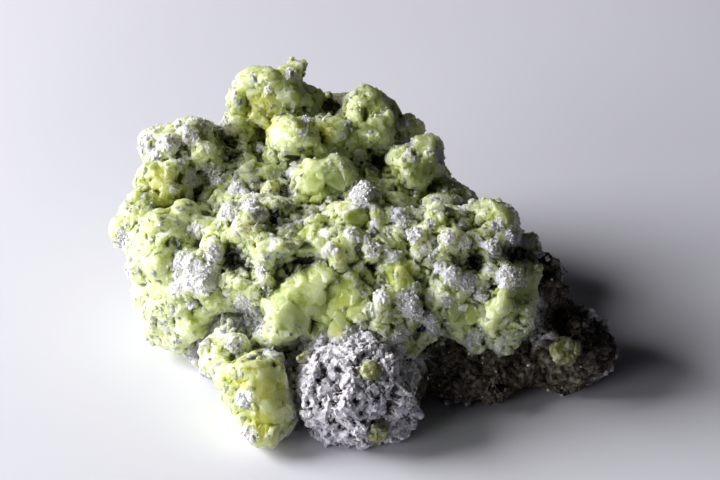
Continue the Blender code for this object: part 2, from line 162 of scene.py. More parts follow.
# Flat faces of other crystals: (across, up, radius, depth under the solid), then degrees as above
FLAT_FACES = [
    (-15.1, -24.6, 3.8, 0.2, 22, 36), (-20.8, -23.6, 3.2, 0.2, -12, 20), (-17.8, -30.4, 2.4, 0, -22, 30),
    (1.6, -13.2, 2, -0.6, -26, 42), (8.4, -9.6, 3, -0.4, -16, 46), (-18.6, -13, 2.6, -0.4, -24, 40),
    (28, -8.6, 4.6, 1.6, 52, 12), (20.6, -12.6, 2.4, 0, -50, 16), (24.6, -13.4, 3, 0.6, 30, -5),
    (-0.4, 3.8, 2.6, 0.1, 40, 60), (22.4, 4.2, 3, 0.3, -15, 66), (18, 4, 2.4, 0.2, 20, 55),
    (-17.6, 21.2, 3.8, 0, -18, 36), (-11.8, 18, 3, 0.1, -30, 46), (-12, 22.6, 2.4, 0, 0, 40),
    (-5, 18, 2.6, 0, 10, 40), (0.8, 22.6, 2.6, 0, 25, 40), (8.6, 11.4, 3, 0, 30, 40),
    (-36, 0, 4, 0.4, -50, 24), (-34, -9, 4, 0.3, -52, 18), (-31.5, -15, 3.4, 0.2, -45, 10),
    (-33.6, 9, 3.4, 0.2, -35, 40), (17, -13, 2.6, 0.2, 5, 30),
]

# Round sulfur crystals
ROUND_CRYSTALS = [
    (-20, -10, 1.7), (-17, -7.7, 1.9), (-15.3, -2.3, 1.9), (-6.7, 0.3, 1.5), (-18, 1.7, 1.9),
    (-24.3, -1.7, 1.9), (-18, -14, 2.2), (-20.3, -17.3, 2.2), (-22.5, -13, 1.5), (-18.8, -5.2, 1.2),
    (3.3, -12.6, 1.9), (9.7, -2.3, 1.8), (1.2, -5.4, 1.6), (5.4, -9.6, 1.9), (3.3, -15.3, 1.3),
    (7.3, -18.2, 2.3), (12.6, -7.2, 1.6), (22.6, -4.6, 1.7), (12.6, 0.6, 1.5), (-31.7, 15, 2.2),
    (-27.7, 19.4, 1.4), (5.6, 14.5, 2), (-13, 9.6, 1.8), (-25.4, 14.4, 1.8), (-28.6, -11.4, 2.2),
    (0.8, 6.6, 2.4), (6, -5.8, 2.9), (8, -6.6, 2.2),
]

# Sulfur with broad smooth faces and few small crystals on it
SMOOTH_SULFUR = [
    (-3, -10.6, 5), (-10.4, -11.4, 5), (-5.4, -15, 3.6), (-7.6, -7.2, 3.6), (-14.8, -24.4, 3.4),
    (-15, -29.4, 2.6), (-7.4, 9.5, 4), (-3.4, 10.2, 3.6), (27, -8.6, 5), (21.4, -12.8, 2.6), (17, -13, 2.6),
    (23.6, 4.2, 2.4), (6.8, -5.6, 2.9), (-0.3, 3.4, 2.2), (-27, -13.4, 2.4), (7.3, -18.4, 2), (-20, -10, 1.9),
]

# Sulfur with hardly any powder on it, though it may be rough
CLEAR_SULFUR = [
    (-15, 23, 8), (-7, 18, 7), (3, 20, 7), (9, 13, 7), (13, 10, 5), (-35, 8, 6), (-17, 11.6, 4), (-39, 1, 5),
    (-28, 3, 5), (-36, -6, 8), (-10, -1, 4), (-20, -25, 7), (-16, -30, 5),
]

# White and grey mineral crusts: (across, up, radius), then how grey, from 0 to 1
MINERAL_CRUSTS = [
    (0.6, 7.4, 3.1, 0), (-29, -5, 3, 0.05), (-25.6, -6.3, 2.8, 0.05), (-30.2, -8.2, 1.9, 0.25),
    (-24.5, -10.4, 1.6, 0.5), (-28, -10.4, 1.5, 0.55), (-24.2, -2.2, 1.9, 0.2), (-22, 4.6, 1.7, 0.1),
    (-16.8, 4.4, 1.6, 0.1), (-27.4, 1.6, 1.7, 0.35), (-34, 14, 1.7, 0.1), (-31.4, 16, 1.8, 0.1),
    (-28.3, 17.3, 1.9, 0.5), (-26, 18.8, 1.8, 0.6), (-8, 4.5, 1, 0.1), (6.8, 3.7, 1.9, 0.05),
    (9.3, 0.9, 1.6, 0.45), (-1.4, 1.2, 1.3, 0.1), (2.2, -1.7, 1.5, 0.45), (5.3, -2.8, 1.2, 0.3),
    (-4.7, -1.4, 1.1, 0.1), (-7, -4.7, 1.1, 0.4), (0.5, -9.2, 1.5, 0.1), (3.7, -9.8, 1.4, 0.1),
    (7.5, -10.2, 1.8, 0.15), (9, -12.2, 1.7, 0.3), (11.4, -13.4, 1.6, 0.45), (12, -15, 1.1, 0.5),
    (14.4, -9.8, 1.3, 0.2), (13.3, -4.7, 1.3, 0.1), (15.6, -6, 1.8, 0.15), (17.8, -7, 1.8, 0.6),
    (20.2, -9, 1.5, 0.4), (24.8, -6.4, 2.3, 0.1), (17.2, -11.3, 0.8, 0.1), (14.8, 0.4, 1.4, 0.7),
    (17.5, -0.5, 1.1, 0.4), (21.8, -1, 1.2, 0.3), (25.2, 0.4, 1.8, 0.75), (27.3, -0.6, 1, 0.5),
    (30.2, -3.6, 1.1, 0.4), (13.2, 6.4, 1.1, 0.1), (11.8, 2.4, 1.2, 0.15), (22.9, 2.6, 1.2, 0.35),
    (11.3, -2.7, 0.8, 0.2), (-16.6, -5, 1.2, 0.1), (-18, -12.4, 1.7, 0.35), (-16, -15, 1.7, 0.45),
    (-20.6, -17.4, 1.8, 0.15), (-19.5, -26.5, 1.7, 0.1), (-27.4, -18.8, 1.6, 0.45), (-30.8, 8.4, 1.1, 0.3),
    (-28.3, 10.2, 1.7, 0.7), (-24.4, 10.8, 1.6, 0.65), (-20.6, 8.7, 1.6, 0.5), (-17.6, 9.2, 1.4, 0.5),
    (-10.6, 10.8, 1.8, 0.55), (-17, 15.3, 1.1, 0.3), (-20.8, 23.6, 1.6, 0.3), (-11.3, 27.4, 1.5, 0.1),
    (-15.3, 25, 0.9, 0.1), (0, 14.3, 1.3, 0.3), (8.7, 14, 1.4, 0.35), (7, 19.2, 1.2, 0.3),
    (6.4, -15.9, 1.2, 0.3), (6.8, -18.6, 1.3, 0.5), (4.4, -17.4, 1.1, 0.35), (-1, -13.2, 1.4, 0.4),
    (-0.6, -15.6, 1.7, 0.5), (0, -18, 1.8, 0.55),
]

# White crusts on crystals that stand out: (across, up, nearer to the viewer, radius)
STANDING_CRUSTS = [(0.5, 7.3, 7.6, 2.5), (-27.6, -6, 8.2, 3.2)]

# Tints of the sulfur by the name of their mask: softness of the patches' edges, share, colour, patches
SULFUR_TINTS = {
    # The pale patches lie mostly on the left flank, which faces the window: paler sulfur, partly painted
    # light
    "pale": (0.6, 0.7, (224, 233, 178), [
        (-37, 6, 5), (-38, -2, 5), (-36, -9, 6), (-33, -15, 5), (-28, -18, 4), (-28, 4, 5), (-32, 17, 5),
        (-12, 17, 4), (-13, 24, 4), (-21, -27, 4), (-24, -22, 3), (21, -12.6, 2), (-20, 12, 3), (-19, 26, 3),
        (-7, -7.8, 2.8),
    ]),
    "yellow": (0.7, 0.85, (188, 191, 62), [
        (-2.3, -10.8, 3.2), (-17, -24, 7), (-16, -31, 5), (-16.5, 21, 5.5), (7, -5.6, 2.2), (-32, 9, 5.5),
        (-18, 1.6, 1.8), (-12, -0.6, 1.8), (-3.7, -15.8, 1.8), (-6, 18, 3),
    ]),
    "green": (0.7, 0.7, (156, 171, 104), [
        (-12, -13.4, 3.6), (-6.4, -14.8, 2.2), (-8.7, -1.3, 1.9), (26.5, -10, 4.5), (18.4, 3.4, 3.4),
        (16, -13.4, 3), (-4.6, 9.4, 3.4), (4, 17, 5), (9, 13, 4), (-15.4, -2.2, 2), (-17, -7.4, 2),
    ]),
}

# Host rock that is painted brownish and dark instead of lavender: partly its own colour, partly painted shade
# on the side away from the window
DARK_ROCK_AND_SHADE = [
    (17, -22, 7), (25, -22, 7), (33, -22, 7), (39, -18, 6), (34, -13, 5), (34, -24.5, 6), (11, -25, 5),
    (22, -26, 6), (31, -6, 4), (33.4, -9, 4), (31, -1, 4),
]

# Lumps of the host rock in front, and the cracks between them
ROCK_LUMPS = [
    (-7.6, -22.4, 2), (-5.6, -24.6, 2.2), (-8.6, -25.2, 1.6), (-5.4, -21, 1.4), (-1.2, -22.6, 1.8),
    (-1.4, -25, 1.7), (-8.6, -29.2, 1.8), (-6.2, -31, 1.7), (-2.4, -28, 1.5), (-4.6, -33, 1.5),
    (-1.6, -33, 1.4), (1.4, -24.8, 1.3), (2.8, -28, 1.6), (0.6, -31, 1.4), (4.6, -24, 1.5), (-2, -19.4, 1.3),
    (5, -30.6, 1.5), (7, -26.4, 1.4),
]
ROCK_CRACKS = [
    (-3.5, -21.6, 0.8), (-3.5, -23.4, 0.9), (-3.6, -25.4, 0.9), (-4, -27.2, 1), (-6.4, -27.4, 0.8),
    (-8.6, -27.2, 0.7), (-4.6, -29.8, 1.2), (-0.6, -26.8, 0.8), (0.4, -28.6, 0.9), (-0.8, -30.6, 0.8),
    (-3.2, -31.2, 0.8), (2.9, -26, 0.9), (0.4, -22.6, 0.8), (2.4, -22.4, 1.3), (3.6, -30.4, 0.9),
    (5, -27.6, 1), (-6.9, -23.6, 0.6),
]

# Valleys between large crystals
VALLEYS = [
    (-7.8, -13.2, 1.6), (-8.8, -15.4, 1.4), (-14.6, -21, 1.8), (16.6, -3.4, 2), (-11.6, 12.4, 1.6),
    (21, -6.6, 1.4), (3.2, 10.6, 2.2), (-6.6, 20.6, 1.4), (15.2, 2.8, 1), (18.9, 2.6, 1),
]

# Recesses, carved in and painted dark: partly bare rock, partly painted shade
DARK_RECESSES = [
    (-21.6, 14.6, 2.6), (-12.6, 8.4, 1.6), (-5, 22.6, 2.2), (-20.8, -3.4, 2.8), (-14.4, 3.2, 1.4),
    (-9.4, -4, 2.4), (-10, 5, 1.1), (-3.3, 6.6, 1), (2, -4.4, 1.3), (2.4, 12, 2.4), (-24, -15, 1.7),
    (-12.6, -19.6, 2.6), (10.2, -14.4, 1.5), (19, -4, 2.4), (25, -2.5, 1.6), (9, -21.6, 1.8),
    (-16.6, -18.6, 1.6), (-9.2, -18.4, 2),
]


# Arrays of a mesh

def rows_of(items, name, width, kind=float):
    """What each part of a mesh says under a name, one row each."""
    flat = np.empty(len(items) * width, dtype=kind)
    items.foreach_get(name, flat)
    return flat.reshape(-1, width)


def points_of(mesh):
    """The places of a mesh's vertices."""
    return rows_of(mesh.vertices, "co", 3)


def normals_of(mesh):
    """The outward directions at a mesh's vertices."""
    return rows_of(mesh.vertex_normals, "vector", 3)


def edges_of(mesh):
    """The two vertex numbers of each edge."""
    return rows_of(mesh.edges, "vertices", 2, np.int32)


def set_points(mesh, points):
    """Moves a mesh's vertices to new places."""
    mesh.vertices.foreach_set("co", points.ravel())
    mesh.update()


def set_mask(mesh, name, values):
    """Stores one number for each vertex, for the materials to read."""
    mask = mesh.attributes.new(name, "FLOAT", "POINT")
    mask.data.foreach_set("value", np.asarray(values, dtype=np.float32))


def relaxed(values, edges, rounds):
    """Values evened out with those of their neighbours, some rounds over."""
    values = values.reshape(len(values), -1).astype(float)
    count = np.maximum(np.bincount(edges.ravel(), minlength=len(values)), 1)[:, None]
    for _ in range(rounds):
        total = np.zeros_like(values)
        np.add.at(total, edges[:, 0], values[edges[:, 1]])
        np.add.at(total, edges[:, 1], values[edges[:, 0]])
        values = (values + total / count) / 2
    return values.squeeze()


def new_object(name, data):
    """An object of the scene with its data."""
    made = bpy.data.objects.new(name, data)
    bpy.context.scene.collection.objects.link(made)
    return made


def with_modifier(mesh, kind, **settings):
    """A new mesh: the given one as a modifier leaves it."""
    carrier = new_object("carrier", mesh)
    modifier = carrier.modifiers.new(kind, kind)
    for name, value in settings.items():
        setattr(modifier, name, value)
    depsgraph = bpy.context.evaluated_depsgraph_get()
    made = bpy.data.meshes.new_from_object(carrier.evaluated_get(depsgraph))
    bpy.data.objects.remove(carrier)
    bpy.data.meshes.remove(mesh)
    return made


# Places on the specimen

def surface_tree(names):
    """The surfaces of some solids together, for lines of sight to meet."""
    joined = bmesh.new()
    for name in names:
        joined.from_mesh(NODES[name].data)
    tree = BVHTree.FromBMesh(joined)
    joined.free()
    return tree


def sight_place(across, up):
    """The place of the photograph's plane some mm to the right of and above the sight centre."""
    return SIGHT_CENTRE + Vector((across, up * math.sin(EYE_ELEVATION), up * math.cos(EYE_ELEVATION))) * MM


def seen_spot(tree, across, up):
    """Where the line of sight through a place meets the surface, and the outward direction."""
    spot, outward, _, _ = tree.ray_cast(EYE, sight_place(across, up) - EYE)
    if spot is None:
        raise ValueError(f"the line of sight through {across}, {up} misses the specimen")
    return spot, outward


def eye_spot(across, up, near):
    """A place some mm nearer to the viewer than the photograph's plane."""
    on_plane = sight_place(across, up)
    return np.array(on_plane + (EYE - on_plane).normalized() * near * MM)


def random_spots(mesh, count, rng):
    """Points spread evenly over a mesh, with the outward direction at each."""
    mesh.calc_loop_triangles()
    corners = points_of(mesh)[rows_of(mesh.loop_triangles, "vertices", 3, np.int32)]
    crossed = np.cross(corners[:, 1] - corners[:, 0], corners[:, 2] - corners[:, 0])
    areas = np.linalg.norm(crossed, axis=1)
    picked = rng.choice(len(areas), count, p=areas / areas.sum())
    shares = rng.dirichlet((1, 1, 1), count)
    spots = (corners[picked] * shares[:, :, None]).sum(axis=1)
    return spots, crossed[picked] / areas[picked, None]


def hidden_from_eye(tree, spots, outwards):
    """Which of the spots the photograph doesn't show."""
    hidden = []
    for spot, outward in zip(spots, outwards):
        start = Vector(spot + outward * 0.5 * MM)
        to_eye = EYE - start
        blocked = tree.ray_cast(start, to_eye)[0] is not None
        hidden.append(blocked or to_eye.dot(Vector(outward)) < 0)
    return np.array(hidden)


def gap_from(points, centre, radius):
    """How far the points are from a place, in radii. Depth along the line of sight counts less."""
    off = points - centre
    away = centre - np.array(EYE)
    along = off @ (away / np.linalg.norm(away))
    return np.sqrt((off**2).sum(axis=1) - (1 - DEPTH_WEIGHT**2) * along**2) / radius


def seen_balls(tree, table):
    """Centres and radii in metres of the balls that a table gives."""
    centres = [np.array(seen_spot(tree, row[0], row[1])[0]) for row in table]
    return np.array(centres), np.array([row[2] for row in table]) * MM


def nearness(points, tree, table):
    """How deep each point is in the nearest of a table's balls: 1 at a centre, 0 outside."""
    best = np.zeros(len(points))
    for centre, radius in zip(*seen_balls(tree, table)):
        best = np.maximum(best, 1 - gap_from(points, centre, radius))
    return best


def inside(points, tree, table, soft):
    """How far each point is inside a table's balls, from 0 to 1, with soft ends."""
    return ease(nearness(points, tree, table), 0, soft)


# Crystals and lumps

def taken_from(made):
    """Points and faces of a working mesh, which is then freed."""
    made.verts.index_update()
    points = np.array([v.co for v in made.verts])
    faces = np.array([[v.index for v in f.verts] for f in made.faces])
    made.free()
    return points, faces


def ball(subdivisions):
    """Points and faces of a ball of radius 1."""
    made = bmesh.new()
    bmesh.ops.create_icosphere(made, subdivisions=subdivisions, radius=1)
    return taken_from(made)


def random_directions(count, rng):
    """Directions spread evenly all round."""
    directions = rng.normal(size=(count, 3))
    return directions / np.linalg.norm(directions, axis=1)[:, None]


def pressed_ball(sides, rng, nearest, farthest):
    """A ball with sides pressed flat, the form of a rounded crystal."""
    points, faces = ball(3)
    for direction in random_directions(sides, rng):
        reach = rng.uniform(nearest, farthest)
        over = np.maximum(points @ direction - reach, 0)
        points -= over[:, None] * direction
    return points, faces


def blocky_form(corners, rng):
    """A sharp-edged block: the hull of some corners on a stretched ball."""
    block = bmesh.new()
    stretch = rng.uniform(0.75, 1.2, 3)
    for corner in random_directions(corners, rng) * stretch:
        block.verts.new(corner)
    bmesh.ops.convex_hull(block, input=block.verts)
    return taken_from(block)


def long_crystal(ends, radius, rng):
    """A long crystal between two places: the hull of two pressed balls."""
    hull = bmesh.new()
    for end in ends:
        corners, _ = pressed_ball(7, rng, 0.5, 0.85)
        for corner in corners * radius * rng.uniform(0.85, 1.1) + end:
            hull.verts.new(corner)
    inner = bmesh.ops.convex_hull(hull, input=hull.verts)["geom_interior"]
    inner = [part for part in inner if isinstance(part, bmesh.types.BMVert)]
    bmesh.ops.delete(hull, geom=inner, context="VERTS")
    return taken_from(hull)


def crystal_forms(rng):
    """A set of sharp-edged blocks, from simple to many-sided."""
    return [blocky_form(corners, rng) for corners in range(9, 17) for _ in range(6)]


def random_frames(count, rng):
    """Turned and slightly stretched sets of three axes."""
    turns = random_directions(count, rng)
    sides = np.cross(turns, random_directions(count, rng))
    sides /= np.linalg.norm(sides, axis=1)[:, None]
    return np.stack([sides, np.cross(turns, sides), turns], axis=1) * rng.uniform(0.8, 1.15, (count, 1, 3))


def joined(parts):
    """Several sets of points and faces as one set."""
    points, faces = zip(*parts)
    starts = np.cumsum([0] + [len(part) for part in points[:-1]])
    return np.vstack(points), np.vstack([part + start for part, start in zip(faces, starts)])


def scattered(forms, spots, outwards, radii, lift, rng):
    """Forms on spots of a surface, their middles lifted by a share of their radius."""
    frames = random_frames(len(spots), rng)
    picked = [forms[pick] for pick in rng.integers(0, len(forms), len(spots))]
    middles = spots + outwards * (radii * lift)[:, None]
    parts = []
    for (points, faces), axes, radius, middle in zip(picked, frames, radii, middles):
        parts.append((points @ axes * radius + middle, faces))
    return joined(parts)


def soup_mesh(name, parts):
    """One mesh of several sets of points and faces."""
    points, faces = joined(parts)
    mesh = bpy.data.meshes.new(name)
    mesh.from_pydata(points, [], faces.tolist())
    return mesh


def remeshed(name, parts, voxel):
    """One fine mesh around several sets of points and faces."""
    return with_modifier(soup_mesh(name, parts), "REMESH", mode="VOXEL", voxel_size=voxel)


def solid_of(name):
    """Points and faces of a CAD node, to build on."""
    mesh = NODES[name].data
    return points_of(mesh), np.array([list(face.vertices) for face in mesh.polygons])


# Relief of a fine mesh

def nearest_two(points, seeds):
    """The number of each point's nearest seed, and how much farther the next one is."""
    tree = KDTree(len(seeds))
    for number, seed in enumerate(seeds):
        tree.insert(seed, number)
    tree.balance()
    cells = np.empty(len(points), dtype=np.int32)
    margins = np.empty(len(points))
    for row, point in enumerate(points):
        (_, cells[row], near), (_, _, far) = tree.find_n(point, 2)
        margins[row] = far - near
    return cells, margins


def cell_means(values, cells, count):
    """The mean of the values in each cell."""
    total = np.zeros((count, values.shape[1]))
    np.add.at(total, cells, values)
    return total / np.maximum(np.bincount(cells, minlength=count), 1)[:, None]


def faceted(mesh, facets, rng, smooth=0.0):
    """Presses a mesh into grown-together crystals: flat, tilted faces with grooves between."""
    for spacing, flatness, tilt, groove, groove_width, spared in facets:
        points = points_of(mesh)
        normals = normals_of(mesh)
        area = sum(face.area for face in mesh.polygons)
        seeds = points[rng.choice(len(points), int(area / (spacing * MM) ** 2), replace=False)]
        cells, margins = nearest_two(points, seeds)
        centres = cell_means(points, cells, len(seeds))
        facings = cell_means(normals, cells, len(seeds))
        facings += rng.normal(scale=tilt, size=facings.shape)
        facings /= np.maximum(np.linalg.norm(facings, axis=1), 1e-9)[:, None]
        share = 1 - spared * smooth
        limit = spacing * MM * 0.35
        lift = ((centres[cells] - points) * facings[cells]).sum(axis=1)
        lift = np.clip(lift * flatness, -limit, limit) * share
        fold = groove * MM * np.exp(-((margins / (groove_width * MM)) ** 2)) * share
        set_points(mesh, points + facings[cells] * lift[:, None] - normals * fold[:, None])


def noise_at(points, size, octaves=3, offset=0.0):
    """Smooth random values from about -1 to 1, with features of a given size."""
    return np.array([fractal(place, 0.9, 2.1, octaves) for place in points / size + offset])


def hollowness(points, normals, edges, rounds):
    """How far each point lies below its surroundings, in metres: negative on tips."""
    return ((relaxed(points, edges, rounds) - points) * normals).sum(axis=1)


def without_horns(points, normals, edges):
    """The points with thin horns evened out."""
    even = relaxed(points, edges, 30)
    height = ((points - even) * normals).sum(axis=1)
    return points + (even - points) * ease(height, 0.4 * MM, 1.1 * MM)[:, None]


def thinned(mesh, triangles):
    """The mesh with about so many triangles at most."""
    count = sum(len(face.vertices) - 2 for face in mesh.polygons)
    return with_modifier(mesh, "DECIMATE", ratio=min(1, triangles / count))


def settle_on_floor(points):
    """Keeps the underside flat on the floor."""
    points[:, 2] = np.maximum(points[:, 2], 0)
    return points


def ease(values, low, high):
    """Values from 0 at the low limit to 1 at the high one, with soft ends."""
    share = np.clip((values - low) / (high - low), 0, 1)
    return share * share * (3 - 2 * share)


# Mineral crusts

class Crusts:
    """Where the white and grey crusts lie: as in the photograph, and at random on the hidden side."""

    def __init__(self, tree):
        rng = np.random.default_rng(SEEDS["crusts"])
        centres, radii = seen_balls(tree, MINERAL_CRUSTS)
        spots, outwards = random_spots(NODES["sulfur_mass"].data, HIDDEN_CRUSTS * 3, rng)
        kept = spots[hidden_from_eye(tree, spots, outwards)][:HIDDEN_CRUSTS]
        standing = [eye_spot(*row[0:3]) for row in STANDING_CRUSTS]
        sizes = [*(row[3] for row in STANDING_CRUSTS), *rng.uniform(*CRUST_RADII, len(kept))]
        greys = [row[3] * CRUST_GREYNESS for row in MINERAL_CRUSTS] + [0] * len(standing)
        self.centres = np.vstack([centres, standing, kept])
        self.radii = np.concatenate([radii, np.array(sizes) * MM])
        self.greys = np.concatenate([greys, rng.uniform(0, 0.8, len(kept))])

    def at(self, points):
        """How much crust is at each point, from 0 to 1, how grey it is, and how high its mound."""
        cover = np.zeros(len(points))
        height = np.zeros(len(points))
        grey = np.zeros(len(points))
        weight = np.full(len(points), 1e-6)
        for centre, radius, tone in zip(self.centres, self.radii, self.greys):
            gap = gap_from(points, centre, radius)
            share = np.clip(1.35 - gap, 0, 1)
            cover = np.maximum(cover, share)
            height = np.maximum(height, np.clip(1.2 - gap, 0, 1) ** 0.6 * radius * MOUND_HEIGHT)
            grey += share * tone
            weight += share
        return cover, grey / weight, height


# The sulfur

def carve(points, tree, table, share):
    """Sinks a table's places along the lines of sight, by a share of each one's radius."""
    for across, up, radius in table:
        spot = np.array(seen_spot(tree, across, up)[0])
        away = spot - np.array(EYE)
        away /= np.linalg.norm(away)
        off = points - spot
        along = off @ away
        gap = np.linalg.norm(off - along[:, None] * away, axis=1) / (radius * MM)
        near = np.flatnonzero((gap < 1.4) & (np.abs(along) < 2.5 * radius * MM))
        ragged = np.clip(gap[near] * (1 + 0.45 * noise_at(points[near], 1.6 * MM)), 0, 1)
        depth = share * radius * MM * (1 - ragged**2) ** 1.5
        points[near] += depth[:, None] * away


def facing_of(turn, rise):
    """The direction that is some degrees to the right of the viewer's and some degrees up."""
    turn, rise = math.radians(turn), math.radians(rise)
    return np.array((math.sin(turn) * math.cos(rise), -math.cos(turn) * math.cos(rise), math.sin(rise)))


def press_face(points, middle, radius, facing):
    """Presses one flat face into the points around its middle."""
    share = np.exp(-(gap_from(points, middle, radius * MM) ** 4))
    above = (points - middle) @ facing
    points -= (np.clip(above, -2.4 * MM, 4 * MM) * share)[:, None] * facing


def press_faces(points, tree):
    """Presses the photograph's broad flat faces into the points."""
    for across, up, radius, depth, turn, rise in FLAT_FACES:
        facing = facing_of(turn, rise)
        press_face(points, np.array(seen_spot(tree, across, up)[0]) - facing * depth * MM, radius, facing)
    for across, up, near, radius, turn, rise in STANDING_FACES:
        press_face(points, eye_spot(across, up, near), radius, facing_of(turn, rise))


def seen_lumps(tree, table, lift, rng):
    """Rounded lumps with pressed sides at a table's places."""
    forms = [pressed_ball(8, rng, 0.5, 0.88) for _ in range(20)]
    seen = [seen_spot(tree, across, up) for across, up, _ in table]
    spots, outwards = (np.array(column) for column in zip(*seen))
    radii = np.array([radius * MM for _, _, radius in table])
    return scattered(forms, spots, outwards, radii, lift, rng)


def smoothness(points, tree):
    """How smooth the sulfur is at each point, from 0 to 1, and how clear of powder."""
    smooth = inside(points, tree, SMOOTH_SULFUR, 0.3)
    clear = inside(points, tree, CLEAR_SULFUR, 0.3)
    return np.maximum(smooth, 0.5 * clear), clear


def sulfur_body(tree, crusts):
    """The intergrown sulfur: crystals on the solid, their faces and grooves, and the crusts' mounds."""
    rng = np.random.default_rng(SEEDS["sulfur"])
    parts = [solid_of("sulfur_mass")]
    for *places, radius in LONG_CRYSTALS:
        seen = [seen_spot(tree, *places[0:2]), seen_spot(tree, *places[2:4])]
        ends = [np.array(spot + outward * radius * LONG_LIFT * MM) for spot, outward in seen]
        parts.append(long_crystal(ends, radius * MM, rng))
    for *places, radius in STANDING_CRYSTALS:
        parts.append(long_crystal([eye_spot(*places[0:3]), eye_spot(*places[3:6])], radius * MM, rng))
    parts.append(seen_lumps(tree, ROUND_CRYSTALS, ROUND_LIFT, rng))
    spots, outwards = random_spots(NODES["sulfur_mass"].data, SULFUR_BLOCKS, rng)
    kept = (nearness(spots, tree, SMOOTH_SULFUR) == 0) | (rng.random(len(spots)) < 0.15)
    radii = rng.uniform(*BLOCK_RADII, len(spots)) * MM
    parts.append(scattered(crystal_forms(rng), spots[kept], outwards[kept], radii[kept], BLOCK_LIFT, rng))
    mesh = remeshed("sulfur", parts, SULFUR_VOXEL)
    edges = edges_of(mesh)
    points = points_of(mesh)
    smooth, _ = smoothness(points, tree)
    carve(points, tree, VALLEYS, VALLEY_DEPTH)
    points = relaxed(points, edges, 1)
    points += (relaxed(points, edges, 5) - points) * smooth[:, None]
    press_faces(points, tree)
    set_points(mesh, points)
    faceted(mesh, SULFUR_FACETS, rng, smooth)
    points = without_horns(points_of(mesh), normals_of(mesh), edges)
    set_points(mesh, points)
    normals = normals_of(mesh)
    cover, _, height = crusts.at(points)
    rough = noise_at(points, 0.9 * MM)
    fine = noise_at(points, 0.5 * MM, 2, 40)
    mound = ease(cover + 0.3 * rough, 0.25, 0.9) * (0.2 + 0.2 * fine) * MM + height * (1 + 0.3 * rough)
    mound *= 1 - 0.7 * smooth
    clefts = np.clip(hollowness(points, normals, edges, 50), 0, 0.9 * MM)
    points += normals * (CONTACT_FILL + 0.04 * MM * rough * (1 - smooth) + mound - 0.8 * clefts)[:, None]
    carve(points, tree, DARK_RECESSES, RECESS_DEPTH)
    set_points(mesh, settle_on_floor(points))
    return new_object("sulfur_body", thinned(mesh, SULFUR_TRIANGLES))


def sulfur_masks(body, tree, crusts):
    """Gives the sulfur its masks: crust, greyness, hollows for painted shade, bare rock with painted shade in
    recesses, smoothness and tints.
    """
    mesh = body.data
    points = points_of(mesh)
    normals = normals_of(mesh)
    edges = edges_of(mesh)
    cover, grey, _ = crusts.at(points)
    rough = noise_at(points, 0.9 * MM)
    smooth, clear = smoothness(points, tree)
    set_mask(mesh, "smooth", smooth)
    frost = 0.16 + 0.4 * noise_at(points, 2.6 * MM, 3, 60) + 0.14 * normals[:, 2]
    frost = np.clip(frost * (1 - smooth) * (1 - 0.8 * clear), 0, 0.55)
    set_mask(mesh, "crust", np.maximum(ease(cover + 0.3 * rough, 0.25, 0.8), frost))
    set_mask(mesh, "grey", grey)
    # How deep each point lies in a hollow: the material paints shade there and pales the tips
    narrow = hollowness(points, normals, edges, 8)
    wide = hollowness(points, normals, edges, 60)
    set_mask(mesh, "hollow_shade", np.clip(0.5 + narrow * (1 - 0.7 * smooth) / (0.5 * MM) + wide / (3 * MM), 0, 1))
    # Dark at the listed recesses and deeper in wide hollows: bare rock and painted shade
    recess = nearness(points, tree, DARK_RECESSES)
    set_mask(mesh, "recess", ease(recess * 1.4 + wide / (1.2 * MM) + 0.15 * rough, 0.3, 0.9))
    for name, (soft, _, _, table) in SULFUR_TINTS.items():
        set_mask(mesh, name, inside(points, tree, table, soft))


# The host rock

def rock_body(tree):
    """The crumbly host rock: lumps and crumbs on the solid, split by cracks and rough all over."""
    rng = np.random.default_rng(SEEDS["rock"])
    spots, outwards = random_spots(NODES["matrix_rock"].data, ROCK_CRUMBS, rng)
    radii = rng.uniform(*CRUMB_RADII, len(spots)) * MM
    crumbs = scattered(crystal_forms(rng), spots, outwards, radii, CRUMB_LIFT, rng)
    parts = [solid_of("matrix_rock"), crumbs, seen_lumps(tree, ROCK_LUMPS, LUMP_LIFT, rng)]
    mesh = remeshed("rock", parts, ROCK_VOXEL)
    faceted(mesh, ROCK_FACETS, rng)
    points = points_of(mesh)
    rough = 0.2 * noise_at(points, 1.6 * MM, 4) + 0.15 * noise_at(points, 0.7 * MM, 3, 30)
    points += normals_of(mesh) * (CONTACT_FILL + rough * MM)[:, None]
    carve(points, tree, ROCK_CRACKS, CRACK_DEPTH)
    set_points(mesh, settle_on_floor(points))
    return new_object("rock_body", thinned(mesh, ROCK_TRIANGLES))


def rock_masks(body, tree):
    """Gives the rock its masks: hollows and cracks for painted shade, and where it is brownish and dark,
    partly its own colour and partly painted shade.
    """
    mesh = body.data
    points = points_of(mesh)
    # How deep each point lies in a crack: the material paints shade there
    narrow = hollowness(points, normals_of(mesh), edges_of(mesh), 8)
    set_mask(mesh, "hollow_shade", np.clip(0.5 + narrow / (0.45 * MM), 0, 1))
    dark = nearness(points, tree, DARK_ROCK_AND_SHADE) + 0.12 * noise_at(points, 2 * MM)
    set_mask(mesh, "brown_and_shade", ease(dark, 0, 0.35))


# The lone crystals

